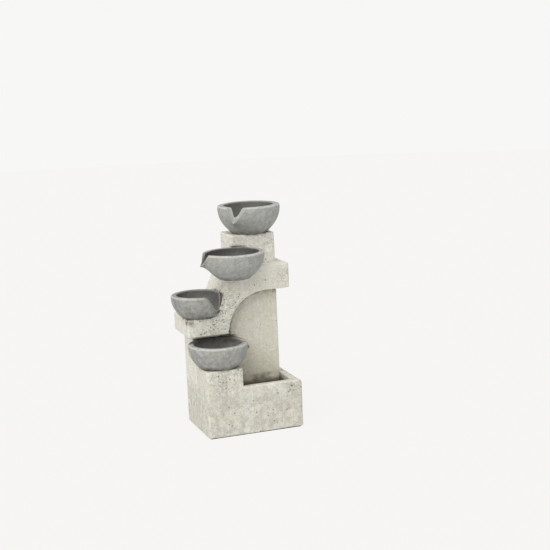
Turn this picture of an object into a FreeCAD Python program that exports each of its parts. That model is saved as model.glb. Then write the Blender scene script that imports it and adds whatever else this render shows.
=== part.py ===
import FreeCAD, Part
import Sketcher
import math
import operator
import os

# Tabletop cascade fountain: a cast basin, a hollow cast tower, an arched front slab, four spouted
# bowls, and a submersible pump with its supply tube inside the tower.
# Units are millimetres. X runs to the right along the front, Y to the back, Z up. The origin is the
# centre of the basin's footprint, on the surface that the fountain stands on.

SIZES = [
    ("base_width", 180.0, "basin, left to right"),
    ("base_depth", 137.0, "basin, front to back"),
    ("rim_height", 87.0, "pool rim above the basin's underside"),
    ("block_width", 69.0, "raised block under the lower bowl"),
    ("block_height", 121.5, "top of the raised block"),
    ("floor_thick", 12.0, "pool floor"),
    ("wall_front", 13.0, "basin front wall"),
    ("wall_side", 12.0, "basin left and back walls"),
    ("wall_right", 17.0, "basin right wall"),
    ("pad_thick", 1.5, "foam pad under the basin"),
    ("tower_front", -1.5, "front plane of the tower"),
    ("tower_wall", 12.0, "tower front and top wall"),
    ("core_left", -10.2, "left face of the upper tower"),
    ("core_right", 72.7, "right face of the tower"),
    ("core_top", 350.5, "top of the tower"),
    ("beam_low", 250.4, "underside of the beam"),
    ("beam_top", 295.5, "top of the beam"),
    ("beam_right", 89.2, "right end of the beam"),
    ("slab_thick", 25.0, "front slab, front to back"),
    ("arch_radius", 73.0, "quarter arch cut in the slab"),
    ("leg_width", 76.7, "slab's leg under the bracket, left to right"),
    ("bracket_reach", 17.1, "bracket beyond the basin's left side"),
    ("bracket_low", 177.4, "underside of the bracket"),
    ("ledge_height", 209.0, "ledge for the middle bowl"),
    ("cheek_low_x", -60.0, "sloped left cheek at the ledge"),
    ("cheek_high_x", -21.0, "sloped left cheek at the beam's top"),
    ("edge_round", 5.0, "soft outside edges of the castings"),
    ("seat_gap", 0.3, "mortar line round a seated bowl"),
    ("hatch_width", 68.0, "rear opening"),
    ("hatch_height", 108.0, "rear opening"),
    ("hatch_low", 97.0, "bottom of the rear opening"),
    ("pump_x", -1.0, "front face of the pump housing"),
    ("pump_y", 34.0, "pump axis, front to back"),
    ("pump_width", 36.0, "pump housing, side to side"),
    ("pump_height", 38.0, "pump housing"),
    ("pump_length", 39.0, "pump housing, front to back"),
    ("cup_height", 6.0, "suction cups under the pump"),
    ("tube_outer", 8.0, "supply tube outside radius"),
    ("tube_inner", 6.0, "supply tube bore radius"),
    ("shaft_radius", 1.2, "ceramic shaft"),
]
# Each bowl's centre is measured from two faces of what carries it: x from the first, y from the second.
# name, x, y, base z, rim radius, height, base radius, rim width
BOWLS = [
    ("top_bowl", 44.2, 27.5, "core_top", 57.0, 51.5, 31.5, 12.5),
    ("upper_bowl", -13.2, -48.5, "upper_seat", 55.0, 48.0, 27.0, 10.5),
    ("middle_bowl", 27.1, 1.5, "ledge_height", 47.0, 42.7, 26.5, 11.0),
    ("lower_bowl", 35.0, 36.0, "block_height", 53.6, 43.7, 34.5, 10.5),
]
# Each bowl pours over a V in its rim: direction in degrees, depth of the V, half its width at the rim
# and how far the nose under it stands out. The middle bowl's wide V has no nose.
SPOUTS = {
    "top_bowl": (-130.0, 16.0, 12.5, 5.5),
    "upper_bowl": (170.0, 18.0, 13.0, 8.0),
    "middle_bowl": (-52.0, 26.0, 24.0, 0.0),
    "lower_bowl": (-9.0, 10.0, 7.5, 4.5),
}

doc = FreeCAD.newDocument("TabletopFountain")
sheet = doc.addObject("Spreadsheet::Sheet", "Params")
rows = list(SIZES) + [("upper_seat", 282.0, "seat of the upper bowl")]
for name, cx, cy, seat, rim_r, height, base_r, rim_w in BOWLS:
    rows.append((name + "_in", cx, "bowl centre, in from its carrier's left face"))
    rows.append((name + "_back", cy, "bowl centre, back from its carrier's front face"))
    rows.append((name + "_rim", rim_r, "outer rim radius"))
    rows.append((name + "_high", height, "bowl height"))
    rows.append((name + "_foot", base_r, "radius of the flat underside"))
    rows.append((name + "_lip", rim_w, "rim width"))
    facing, depth, half, nose = SPOUTS[name]
    rows.append((name + "_spout", facing, "direction of the spout in degrees"))
    rows.append((name + "_vee", depth, "depth of the spout's V below the rim"))
    rows.append((name + "_vee_half", half, "half the V's width at the rim"))
    if nose:
        rows.append((name + "_nose", nose, "spout's nose beyond the rim"))
for row, (alias, value, note) in enumerate(rows, start=1):
    sheet.set("A%d" % row, alias)
    sheet.set("B%d" % row, str(value))
    sheet.setAlias("B%d" % row, alias)
    sheet.set("C%d" % row, note)
doc.recompute()


def words(value):
    return value.text if isinstance(value, Sized) else "(%r)" % float(value)


def traced(symbol, work):
    """The two Python methods of one operator, which work out the number and its expression together."""
    def forward(self, other):
        return Sized(work(float(self), float(other)), "(%s %s %s)" % (words(self), symbol, words(other)))

    def backward(self, other):
        return Sized(work(float(other), float(self)), "(%s %s %s)" % (words(other), symbol, words(self)))
    return forward, backward


class Sized(float):
    """A number with the expression that gives it from the sheet, kept through + - * and /."""
    __add__, __radd__ = traced("+", operator.add)
    __sub__, __rsub__ = traced("-", operator.sub)
    __mul__, __rmul__ = traced("*", operator.mul)
    __truediv__, __rtruediv__ = traced("/", operator.truediv)

    def __new__(cls, value, text):
        made = super().__new__(cls, value)
        made.text = text
        return made

    def __neg__(self):
        return Sized(-float(self), "(0 - %s)" % self.text)


def size(alias):
    return Sized(sheet.get(alias), "Params." + alias)


def bind(item, path, value):
    """Tie one property to the sheet, where its value comes from there."""
    if isinstance(value, Sized):
        item.setExpression(path, value.text)


def bind_base(item, spot, holder=".Placement"):
    for letter, value in zip("xyz", spot):
        bind(item, "%s.Base.%s" % (holder, letter), value)


LIFT = size("pad_thick")
LEFT = -size("base_width") / 2
RIGHT = size("base_width") / 2
FRONT = -size("base_depth") / 2
BACK = size("base_depth") / 2
FLOOR = size("floor_thick")
RIM = size("rim_height")
TOWER_Y = size("tower_front")
SLAB_Y = TOWER_Y - size("slab_thick")
BRACKET_LEFT = LEFT - size("bracket_reach")
CARRIER = {"top_bowl": (size("core_left"), TOWER_Y), "upper_bowl": (size("core_left"), TOWER_Y),
           "middle_bowl": (BRACKET_LEFT, TOWER_Y), "lower_bowl": (LEFT, FRONT)}
bodies = []
X_AXIS = FreeCAD.Vector(1, 0, 0)
Y_AXIS = FreeCAD.Vector(0, 1, 0)
Z_AXIS = FreeCAD.Vector(0, 0, 1)


def vec(x, y, z):
    return FreeCAD.Vector(x, y, z)


def new_body(label, x=0.0, y=0.0, z=0.0, turn=0.0):
    """Start a sub-part; x, y, z and turn place it above the surface."""
    body = doc.addObject("PartDesign::Body", label)
    body.Label = label
    body.Placement = FreeCAD.Placement(vec(x, y, z), FreeCAD.Rotation(Z_AXIS, turn))
    bind_base(body, (x, y, z + LIFT))
    bind(body, ".Placement.Rotation.Yaw", turn)
    bodies.append(body)
    return body


def box(body, label, low, high, cut=False):
    kind = "PartDesign::SubtractiveBox" if cut else "PartDesign::AdditiveBox"
    feature = body.newObject(kind, label)
    for side, a, b in zip(("Length", "Width", "Height"), low, high):
        setattr(feature, side, float(b - a))
        bind(feature, side, b - a)
    feature.Placement.Base = vec(*low)
    bind_base(feature, low)
    return feature


def rod(body, label, start, length, radius, axis=Z_AXIS, cut=False, end_radius=None):
    """A cylinder, or a cone when end_radius is given, from start along axis."""
    shape = "Cylinder" if end_radius is None else "Cone"
    kind = "PartDesign::%s%s" % ("Subtractive" if cut else "Additive", shape)
    feature = body.newObject(kind, label)
    sizes = {"Height": length}
    sizes["Radius" if end_radius is None else "Radius1"] = radius
    if end_radius is not None:
        sizes["Radius2"] = end_radius
    for name, value in sizes.items():
        setattr(feature, name, float(value))
        bind(feature, name, value)
    feature.Placement = FreeCAD.Placement(vec(*start), FreeCAD.Rotation(Z_AXIS, axis))
    bind_base(feature, start)
    return feature


def plane(body, role):
    for item in body.Origin.OriginFeatures:
        if item.Role == role:
            return item


def sketch(body, label, role, parts, offset=(0.0, 0.0, 0.0)):
    """A sketch of straight runs, arcs and splines on one of the body's own planes."""
    sk = body.newObject("Sketcher::SketchObject", label)
    sk.AttachmentSupport = [(plane(body, role), "")]
    sk.MapMode = "FlatFace"
    sk.AttachmentOffset = FreeCAD.Placement(vec(*offset), FreeCAD.Rotation())
    bind_base(sk, offset, ".AttachmentOffset")
    sk.addGeometry(parts, False)
    return sk


def runs(points):
    """Straight runs through the points, open at the end."""
    p = [vec(a, b, 0) for a, b in points]
    return [Part.LineSegment(p[i], p[i + 1]) for i in range(len(p) - 1)]


def polygon(body, label, role, points, offset=(0.0, 0.0, 0.0)):
    """A closed sketch of straight sides, with each corner held by two dimensions bound to the sheet."""
    sk = sketch(body, label, role, runs(list(points) + [points[0]]), offset)
    count = len(points)
    sk.addConstraint([Sketcher.Constraint("Coincident", i, 2, (i + 1) % count, 1) for i in range(count)])
    for i, corner in enumerate(points):
        for kind, value in zip(("DistanceX", "DistanceY"), corner):
            held = sk.addConstraint(Sketcher.Constraint(kind, -1, 1, i, 1, float(value)))
            bind(sk, "Constraints[%d]" % held, value)
    return sk


def arc(a, b, c):
    return Part.Arc(vec(a[0], a[1], 0), vec(b[0], b[1], 0), vec(c[0], c[1], 0))


def spline(points):
    curve = Part.BSplineCurve()
    curve.interpolate([vec(a, b, 0) for a, b in points])
    return curve


def pad(body, sk, label, length, cut=False, backwards=False, both_ways=False):
    feature = body.newObject("PartDesign::Pocket" if cut else "PartDesign::Pad", label)
    feature.Profile = sk
    feature.Length = float(length)
    bind(feature, "Length", length)
    feature.Reversed = backwards
    if both_ways:
        feature.SideType = "Symmetric"
    sk.Visibility = False
    return feature


def turned(body, sk, label, cut=False):
    """A full turn of the sketch about its own upright axis."""
    feature = body.newObject("PartDesign::Groove" if cut else "PartDesign::Revolution", label)
    feature.Profile = sk
    feature.ReferenceAxis = (sk, ["V_Axis"])
    feature.Angle = 360.0
    sk.Visibility = False
    return feature


def rounded(body, label, radius, wanted):
    """Round the upright edges of the body that stand on the wanted corners."""
    doc.recompute()
    base = body.Tip
    names = []
    for i, edge in enumerate(base.Shape.Edges, start=1):
        if len(edge.Vertexes) != 2:
            continue
        a, b = edge.Vertexes[0].Point, edge.Vertexes[1].Point
        upright = abs(a.x - b.x) < 0.01 and abs(a.y - b.y) < 0.01
        on_corner = any(abs(a.x - x) < 0.05 and abs(a.y - y) < 0.05 for x, y in wanted)
        if upright and on_corner:
            names.append("Edge%d" % i)
    feature = body.newObject("PartDesign::Fillet", label)
    feature.Base = (base, names)
    feature.Radius = float(radius)
    bind(feature, "Radius", radius)
    return feature


def bowl_centre(name):
    face_x, face_y = CARRIER[name]
    return face_x + size(name + "_in"), face_y + size(name + "_back")


# Wall curve of every bowl: shares of the height, and how far the wall has come from foot to rim there.
WALL = [(u, 1 - (1 - u) ** 2.3) for u in (0.0, 0.12, 0.26, 0.44, 0.70, 1.0)]


def bowl_outline(rim_r, foot_r, top):
    """Points of the outer wall, from the foot's edge up to where the rim's rounding starts."""
    return [(foot_r + (rim_r - foot_r) * f, top * u) for u, f in WALL]


def add_nose(body, name, rim_r, height):
    """The nose under the spout: it narrows outwards, its lip falls and its underside hooks back."""
    vee = size(name + "_vee")
    root = size(name + "_vee_half") + 3.5
    tip = size(name + "_vee_half") * 0.44
    reach = rim_r + size(name + "_nose")
    plan = [(rim_r - 16, -root), (reach, -tip), (reach, tip), (rim_r - 16, root)]
    nose_sk = polygon(body, name + "_nose_plan", "XY_Plane", plan, (0, 0, height - vee - 14))
    pad(body, nose_sk, name + "_nose", vee + 14)
    upper = [(rim_r - 3, height + 1), (rim_r - 1, height - 2), (reach - 3, height - vee + 7),
             (reach - 0.5, height - vee + 1), (reach + 1, height - vee - 6), (reach + 4, height + 1)]
    pad(body, polygon(body, name + "_lip_side", "XZ_Plane", upper), name + "_lip_fall", 60.0,
        cut=True, both_ways=True)
    lower = [(rim_r - 8, height - vee - 15), (rim_r - 2, height - vee - 8), (reach + 4, height - vee - 6),
             (reach + 4, height - vee - 15)]
    pad(body, polygon(body, name + "_hook_side", "XZ_Plane", lower), name + "_hook", 60.0,
        cut=True, both_ways=True)


def make_bowl(name, seat_z):
    rim_r = size(name + "_rim")
    height = size(name + "_high")
    foot_r = size(name + "_foot")
    lip = size(name + "_lip")
    cx, cy = bowl_centre(name)
    body = new_body(name, cx, cy, seat_z, size(name + "_spout"))
    soft = 2.5
    outer = bowl_outline(rim_r, foot_r, height - soft)
    q = soft * (1 - math.sqrt(0.5))
    outline = [spline(outer),
               arc((rim_r, height - soft), (rim_r - q, height - q), (rim_r - soft, height))]
    outline += runs([(rim_r - soft, height), (0, height), (0, 0), (foot_r, 0)])
    turned(body, sketch(body, name + "_outside", "XZ_Plane", outline), name + "_blank")
    if SPOUTS[name][3]:
        add_nose(body, name, rim_r, height)
    floor = 9.0
    inner_r = rim_r - lip
    well_r = foot_r - 5
    inside = [(well_r + (inner_r - well_r) * f, floor + (height - 2 - floor) * u) for u, f in WALL]
    k = 2 * (1 - math.sqrt(0.5))
    hollow = [spline(inside),
              arc((inner_r, height - 2), (inner_r + k, height - k), (inner_r + 2, height))]
    hollow += runs([(inner_r + 2, height), (inner_r + 2, height + 1), (0, height + 1), (0, floor),
                    (well_r, floor)])
    turned(body, sketch(body, name + "_inside", "XZ_Plane", hollow), name + "_hollow", cut=True)
    vee = size(name + "_vee")
    half = size(name + "_vee_half")
    notch = [(0, height - vee), (half, height), (half, height + 1), (-half, height + 1), (-half, height)]
    notch_sk = polygon(body, name + "_notch", "YZ_Plane", notch, (0, 0, inner_r - 12))
    pad(body, notch_sk, name + "_channel", 40.0, cut=True, backwards=True)
    return body


def seat(body, name, seat_z, clear_above):
    """Scoop a socket for a bowl, and keep the air above its rim free for clear_above."""
    gap = size("seat_gap")
    rim_r = size(name + "_rim") + gap
    height = size(name + "_high")
    outer = bowl_outline(rim_r, size(name + "_foot") + gap, height - 2.5)
    outline = [spline(outer)]
    outline += runs([(rim_r, height - 2.5), (rim_r, height + clear_above), (0, height + clear_above),
                     (0, 0), (size(name + "_foot") + gap, 0)])
    cx, cy = bowl_centre(name)
    spot = (cx, seat_z, -cy)
    turned(body, sketch(body, name + "_seat_side", "XZ_Plane", outline, spot), name + "_seat", cut=True)


# ---- basin -------------------------------------------------------------------------------------
basin = new_body("basin_casting")
box(basin, "basin_blank", (LEFT, FRONT, 0), (RIGHT, BACK, RIM))
block_x = LEFT + size("block_width")
box(basin, "raised_block", (LEFT, FRONT, 0), (block_x, TOWER_Y, size("block_height")))
rounded(basin, "basin_edges", size("edge_round"),
        [(LEFT, FRONT), (RIGHT, FRONT), (RIGHT, BACK), (LEFT, BACK), (block_x, FRONT)])
soft_x = RIGHT - 7.0
soft_z = RIM - 7.0
diag = 7.0 * math.sqrt(0.5)
rim_edge = runs([(soft_x, RIM), (soft_x, RIM + 1), (RIGHT + 1, RIM + 1), (RIGHT + 1, soft_z),
                 (RIGHT, soft_z)])
rim_edge.append(arc((RIGHT, soft_z), (soft_x + diag, soft_z + diag), (soft_x, RIM)))
rim_sk = sketch(basin, "rim_edge_side", "XZ_Plane", rim_edge)
pad(basin, rim_sk, "rim_edge_round", size("base_depth") + 20, cut=True, both_ways=True)
pool_right = RIGHT - size("wall_right")
pool_left = LEFT + size("wall_side")
pool_back = BACK - size("wall_side")
box(basin, "pool_front", (block_x, FRONT + size("wall_front"), FLOOR),
    (pool_right, TOWER_Y + 1, RIM + 60), cut=True)
box(basin, "pool_rear", (pool_left, TOWER_Y, FLOOR), (pool_right, pool_back, RIM + 60), cut=True)
block_core_low = (LEFT + 20, FRONT + 18.5, -1)
block_core_high = (block_x - size("wall_side"), TOWER_Y - size("wall_side"), size("block_height") - 12.5)
box(basin, "block_core", block_core_low, block_core_high, cut=True)

pad_sheet = new_body("base_pad", z=-LIFT)
box(pad_sheet, "pad_sheet", (LEFT + 3, FRONT + 3, 0), (RIGHT - 3, BACK - 3, LIFT))
rounded(pad_sheet, "pad_corners", 4.0,
        [(LEFT + 3, FRONT + 3), (RIGHT - 3, FRONT + 3), (RIGHT - 3, BACK - 3), (LEFT + 3, BACK - 3)])

# ---- tower: stands on the basin's left and back walls, its front and right walls reach the floor ---
core_left = size("core_left")
core_right = size("core_right")
core_top = size("core_top")
wall = size("tower_wall")
seat_heights = {"top_bowl": core_top, "upper_bowl": size("upper_seat"),
                "middle_bowl": size("ledge_height"), "lower_bowl": size("block_height")}
cheek = [(size("cheek_low_x"), size("ledge_height")), (size("cheek_high_x"), size("beam_top"))]
bracket = [(BRACKET_LEFT, size("bracket_low")), (BRACKET_LEFT, size("ledge_height"))]
tower = new_body("tower_casting")
side = [(LEFT, RIM), (LEFT, size("bracket_low"))] + bracket + cheek
side += [(core_left, size("beam_top")), (core_left, core_top), (core_right, core_top),
         (core_right, size("beam_top")), (size("beam_right"), size("beam_top")),
         (size("beam_right"), size("beam_low")), (core_right, size("beam_low")), (core_right, RIM)]
tower_sk = polygon(tower, "tower_side", "XZ_Plane", side, (0, 0, -BACK))
pad(tower, tower_sk, "tower_blank", BACK - TOWER_Y)
skirt_left = pool_left + 0.3
skirt_back = pool_back - 0.3
chamber_y = TOWER_Y + wall
chamber_right = core_right - 10
skirt = [(skirt_left, TOWER_Y), (core_right, TOWER_Y), (core_right, skirt_back),
         (chamber_right, skirt_back), (chamber_right, chamber_y), (skirt_left, chamber_y)]
pad(tower, polygon(tower, "skirt_plan", "XY_Plane", skirt, (0, 0, FLOOR)), "skirt", RIM - FLOOR)
rounded(tower, "tower_edges", size("edge_round"),
        [(core_right, TOWER_Y), (core_left, TOWER_Y), (core_left, BACK), (core_right, BACK), (LEFT, BACK),
         (BRACKET_LEFT, BACK), (size("beam_right"), BACK)])
chamber_back = BACK - 10
box(tower, "low_chamber", (pool_left, chamber_y, RIM - 1), (chamber_right, chamber_back, 113.0), cut=True)
box(tower, "pipe_chamber", (-8.0, chamber_y, 100.0), (chamber_right, chamber_back, 283.0), cut=True)
box(tower, "core_chamber", (core_left + 10, chamber_y, 280.0),
    (chamber_right, chamber_back, core_top - wall), cut=True)
box(tower, "side_chamber", (-70.0, 34.0, 105.0), (-4.0, chamber_back, 165.0), cut=True)
box(tower, "cheek_chamber", (-38.0, 34.0, 160.0), (-4.0, chamber_back, 230.0), cut=True)
top_x, top_y = bowl_centre("top_bowl")
rod(tower, "riser_hole", (top_x, top_y, core_top - wall - 1), wall + 2, 8.3, cut=True)
hatch_x = 14.0
hatch_half = size("hatch_width") / 2
hatch_low = size("hatch_low")
hatch_high = hatch_low + size("hatch_height")
box(tower, "hatch_mouth", (hatch_x - hatch_half, chamber_back - 1, hatch_low),
    (hatch_x + hatch_half, BACK + 1, hatch_high), cut=True)
box(tower, "hatch_rebate", (hatch_x - hatch_half - 4, BACK - 3.3, hatch_low - 4),
    (hatch_x + hatch_half + 4, BACK + 1, hatch_high + 4), cut=True)
grommet_x = -48.0
grommet_z = 100.0
rod(tower, "grommet_hole", (grommet_x, chamber_back - 1, grommet_z), 12.0, 6.25, Y_AXIS, cut=True)
for i, slot_x in enumerate((-4.0, 30.0)):
    box(tower, "return_slot_%d" % i, (slot_x, TOWER_Y - 1, FLOOR - 1),
        (slot_x + 24, chamber_y + 1, FLOOR + 16), cut=True)
keys = [(BRACKET_LEFT + 19.1, 193.0), (20.0, 271.0)]
for i, (kx, kz) in enumerate(keys):
    rod(tower, "key_socket_%d" % i, (kx, TOWER_Y - 1, kz), 8.0, 7.3, Y_AXIS, cut=True)
seat(tower, "upper_bowl", seat_heights["upper_bowl"], 0.3)
seat(tower, "middle_bowl", seat_heights["middle_bowl"], 0.3)
seat(tower, "lower_bowl", seat_heights["lower_bowl"], 4.0)

# ---- arched front slab: bracket, leg, quarter arch and beam, keyed to the tower's face ----------
slab = new_body("arch_casting")
arch_r = size("arch_radius")
arch_x = BRACKET_LEFT + size("leg_width") + arch_r
arch_z = size("beam_low") - arch_r
half = arch_r * math.sqrt(0.5)
face = runs([(arch_x - arch_r, arch_z)] + bracket + cheek
            + [(size("beam_right"), size("beam_top")), (size("beam_right"), size("beam_low")),
               (arch_x, size("beam_low"))])
face.append(arc((arch_x, size("beam_low")), (arch_x - half, arch_z + half), (arch_x - arch_r, arch_z)))
slab_sk = sketch(slab, "slab_face", "XZ_Plane", face, (0, 0, -TOWER_Y))
pad(slab, slab_sk, "slab_blank", size("slab_thick"))
rounded(slab, "slab_edges", size("edge_round"),
        [(BRACKET_LEFT, SLAB_Y), (size("beam_right"), SLAB_Y)])
for i, (kx, kz) in enumerate(keys):
    rod(slab, "key_%d" % i, (kx, TOWER_Y - 1, kz), 7.0, 7.0, Y_AXIS)
seat(slab, "upper_bowl", seat_heights["upper_bowl"], 0.3)
seat(slab, "middle_bowl", seat_heights["middle_bowl"], 0.3)

# ---- bowls -------------------------------------------------------------------------------------
for name in ("top_bowl", "upper_bowl", "middle_bowl", "lower_bowl"):
    bowl = make_bowl(name, seat_heights[name])
    if name == "top_bowl":
        rod(bowl, "stem_hole", (0, 0, -1), 12.0, 8.3, cut=True)

# ---- outlet fitting clamps the top bowl to the tower --------------------------------------------
bowl_floor = core_top + 9.0
gasket = new_body("outlet_gasket", top_x, top_y, bowl_floor)
rod(gasket, "gasket_disc", (0, 0, 0), 1.5, 13.0)
rod(gasket, "gasket_hole", (0, 0, -1), 4.0, 8.1, cut=True)

fitting = new_body("outlet_fitting", top_x, top_y, bowl_floor + 1.5)
stem = 1.5 + 9.0 + wall + 8.0
rod(fitting, "flange", (0, 0, 0), 3.0, 13.0)
rod(fitting, "nozzle", (0, 0, 0), 13.0, 6.0, end_radius=5.0)
rod(fitting, "stem", (0, 0, -stem), stem + 1, 8.0)
rod(fitting, "barb_low", (0, 0, -stem - 15), 16.0, size("tube_inner") - 0.05)
rod(fitting, "bore", (0, 0, -stem - 16), stem + 40, 4.0, cut=True)

nut = new_body("outlet_nut", top_x, top_y, core_top - wall - 5.0)
nut_side = [(12.5 * math.cos(math.radians(60 * i)), 12.5 * math.sin(math.radians(60 * i))) for i in range(6)]
pad(nut, polygon(nut, "nut_plan", "XY_Plane", nut_side), "nut_blank", 5.0)
rod(nut, "nut_thread", (0, 0, -1), 8.0, 8.05, cut=True)

# ---- pump ---------------------------------------------------------------------------------------
px = size("pump_x")
py = size("pump_y")
pz = FLOOR + size("cup_height")
half_w = size("pump_width") / 2
ph = size("pump_height")
pl = size("pump_length")
axis_z = pz + ph - 13.0
outlet_x = px + 6.0
housing = new_body("pump_housing")
box(housing, "housing_blank", (px, py - half_w, pz), (px + pl, py + half_w, pz + ph))
rod(housing, "outlet_boss", (outlet_x, py, pz + ph - 1), 7.0, 6.0)
box(housing, "motor_cavity", (px + 12, py - half_w + 2, pz + 2), (px + pl + 1, py + half_w - 2, pz + ph - 2),
    cut=True)
rod(housing, "well_wall", (px + 8, py, axis_z), 27.0, 9.0, X_AXIS)
rod(housing, "volute", (px - 1, py, axis_z), 10.0, 11.4, X_AXIS, cut=True)
rod(housing, "rotor_well", (px, py, axis_z), 33.0, 7.6, X_AXIS, cut=True)
rod(housing, "outlet_bore", (outlet_x, py, axis_z + 4), ph, 4.6, cut=True)

core = new_body("stator_core")
yoke_z = pz + 7.0
box(core, "yoke", (px + 15, py - half_w + 2, yoke_z), (px + 29, py + half_w - 2, yoke_z + 4))
box(core, "pole_left", (px + 15, py - half_w + 2, yoke_z), (px + 29, py - half_w + 6.5, pz + ph - 6))
box(core, "pole_right", (px + 15, py + half_w - 6.5, yoke_z), (px + 29, py + half_w - 2, pz + ph - 6))

bobbin = new_body("coil_bobbin")
box(bobbin, "bobbin_tube", (px + 14, py - 8, yoke_z - 1), (px + 30, py + 8, yoke_z + 5))
box(bobbin, "bobbin_cheek_a", (px + 12.5, py - 8, yoke_z - 3.5), (px + 31.5, py - 7, yoke_z + 6.6))
box(bobbin, "bobbin_cheek_b", (px + 12.5, py + 7, yoke_z - 3.5), (px + 31.5, py + 8, yoke_z + 6.6))
box(bobbin, "bobbin_window", (px + 14.9, py - 9, yoke_z - 0.1), (px + 29.1, py + 9, yoke_z + 4.1), cut=True)

winding = new_body("coil_winding")
box(winding, "winding_block", (px + 12.7, py - 6.9, yoke_z - 3.2), (px + 31.3, py + 6.9, yoke_z + 6.4))
box(winding, "winding_window", (px + 13.9, py - 8, yoke_z - 1.1), (px + 30.1, py + 8, yoke_z + 5.1), cut=True)

seal = new_body("potting_seal")
box(seal, "seal_slab", (px + 31.5, py - half_w + 2, pz + 2), (px + pl, py + half_w - 2, pz + ph - 2))
rod(seal, "seal_well", (px + 20, py, axis_z), 15.0, 9.0, X_AXIS, cut=True)
box(seal, "seal_relief", (px + 31, py - 8.5, pz + 3), (px + 32, py + 8.5, yoke_z + 7), cut=True)

gland = new_body("pump_cord_gland")
rod(gland, "gland_flange", (px + pl, py, pz + 12), 2.0, 6.5, X_AXIS)
rod(gland, "gland_neck", (px + pl, py, pz + 12), 9.0, 4.5, X_AXIS, end_radius=3.8)
rod(gland, "gland_bore", (px + pl + 1, py, pz + 12), 12.0, 2.6, X_AXIS, cut=True)

cover = new_body("impeller_cover")
box(cover, "cover_plate", (px - 3, py - half_w + 2.3, pz + 2.3), (px, py + half_w - 2.3, pz + ph - 2.3))
rod(cover, "intake_hole", (px - 4, py, axis_z), 5.0, 8.0, X_AXIS, cut=True)
rod(cover, "bearing_hub", (px - 3, py, axis_z), 2.7, 4.2, X_AXIS)
box(cover, "spider_upright", (px - 3, py - 0.9, axis_z - 9), (px - 0.6, py + 0.9, axis_z + 9))
box(cover, "spider_level", (px - 3, py - 9, axis_z - 0.9), (px - 0.6, py + 9, axis_z + 0.9))
rod(cover, "bushing_bore", (px - 2.2, py, axis_z), 4.0, 3.0, X_AXIS, cut=True)

bushes = new_body("shaft_bushings")
rod(bushes, "front_bush", (px - 2.2, py, axis_z), 1.9, 2.95, X_AXIS)
rod(bushes, "rear_bush", (px + 31.2, py, axis_z), 1.8, 3.0, X_AXIS)
rod(bushes, "bush_bores", (px - 4, py, axis_z), 45.0, size("shaft_radius") + 0.01, X_AXIS, cut=True)

shaft = new_body("rotor_shaft")
rod(shaft, "shaft_rod", (px - 2.1, py, axis_z), 35.0, size("shaft_radius"), X_AXIS)

magnet = new_body("rotor_magnet")
rod(magnet, "magnet_drum", (px + 10, py, axis_z), 20.8, 7.1, X_AXIS)
rod(magnet, "magnet_bore", (px, py, axis_z), 40.0, size("shaft_radius") + 0.05, X_AXIS, cut=True)

impeller = new_body("impeller")
rod(impeller, "impeller_hub", (px + 0.4, py, axis_z), 9.6, 4.0, X_AXIS)
for i in range(3):
    angle = math.radians(60 * i)
    blade = box(impeller, "blade_pair_%d" % i, (0, -9.8, -0.6), (6.2, 9.8, 0.6))
    blade.Placement = FreeCAD.Placement(vec(px + 0.8, py, axis_z), FreeCAD.Rotation(X_AXIS, 60 * i)) \
        * FreeCAD.Placement(vec(0, -9.8, -0.6), FreeCAD.Rotation())
rod(impeller, "impeller_bore", (px - 1, py, axis_z), 14.0, size("shaft_radius") + 0.05, X_AXIS, cut=True)

front_x = px - 19.0
strainer = new_body("intake_strainer")
box(strainer, "strainer_blank", (front_x, py - half_w, pz), (px - 0.3, py + half_w, pz + ph))
box(strainer, "strainer_hollow", (front_x + 2, py - half_w + 2, pz + 2),
    (px + 1, py + half_w - 2, pz + ph - 2), cut=True)
dial_z = pz + ph / 2
for i in range(8):
    hole_angle = math.radians(45 * i + 22.5)
    rod(strainer, "intake_port_%d" % i,
        (front_x - 1, py + 9.0 * math.cos(hole_angle), dial_z + 9.0 * math.sin(hole_angle)), 4.0, 2.2, X_AXIS,
        cut=True)
rod(strainer, "dial_hole", (front_x - 1, py, dial_z), 4.0, 2.55, X_AXIS, cut=True)
for i in range(4):
    slot_z = pz + 6.0 + 7.4 * i
    box(strainer, "side_slots_%d" % i, (front_x + 5, py - half_w - 1, slot_z),
        (front_x + 13, py + half_w + 1, slot_z + 3), cut=True)

sponge = new_body("filter_sponge")
box(sponge, "sponge_block", (front_x + 5.5, py - half_w + 2.2, pz + 2.2),
    (px - 3.3, py + half_w - 2.2, pz + ph - 2.2))

dial = new_body("flow_regulator")
fan = runs([(0, -12.5), (0, 12.5)])
fan.append(arc((0, 12.5), (-12.5, 0), (0, -12.5)))
fan_sk = sketch(dial, "fan_plan", "YZ_Plane", fan, (py, dial_z, front_x - 1.8))
pad(dial, fan_sk, "shutter_fan", 1.5)
rod(dial, "dial_hub", (front_x - 1.8, py, dial_z), 1.5, 5.0, X_AXIS)
rod(dial, "dial_stem", (front_x - 1.8, py, dial_z), 5.3, 2.5, X_AXIS)
rod(dial, "dial_collar", (front_x + 2.4, py, dial_z), 1.6, 4.0, X_AXIS)
box(dial, "dial_grip", (front_x - 5, py - 1.2, dial_z - 4.5), (front_x - 1.5, py + 1.2, dial_z + 4.5))

cups = new_body("suction_cups")
cup_spots = [(px + x, py + y) for x in (6.0, 32.0) for y in (-11.0, 11.0)]
for i, (cx, cy) in enumerate(cup_spots):
    rod(cups, "cup_%d" % i, (cx, cy, FLOOR), size("cup_height"), 7.0, end_radius=3.0)
for i, (cx, cy) in enumerate(cup_spots):
    rod(cups, "cup_hollow_%d" % i, (cx, cy, FLOOR - 0.5), 2.7, 5.6, cut=True, end_radius=1.2)

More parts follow.
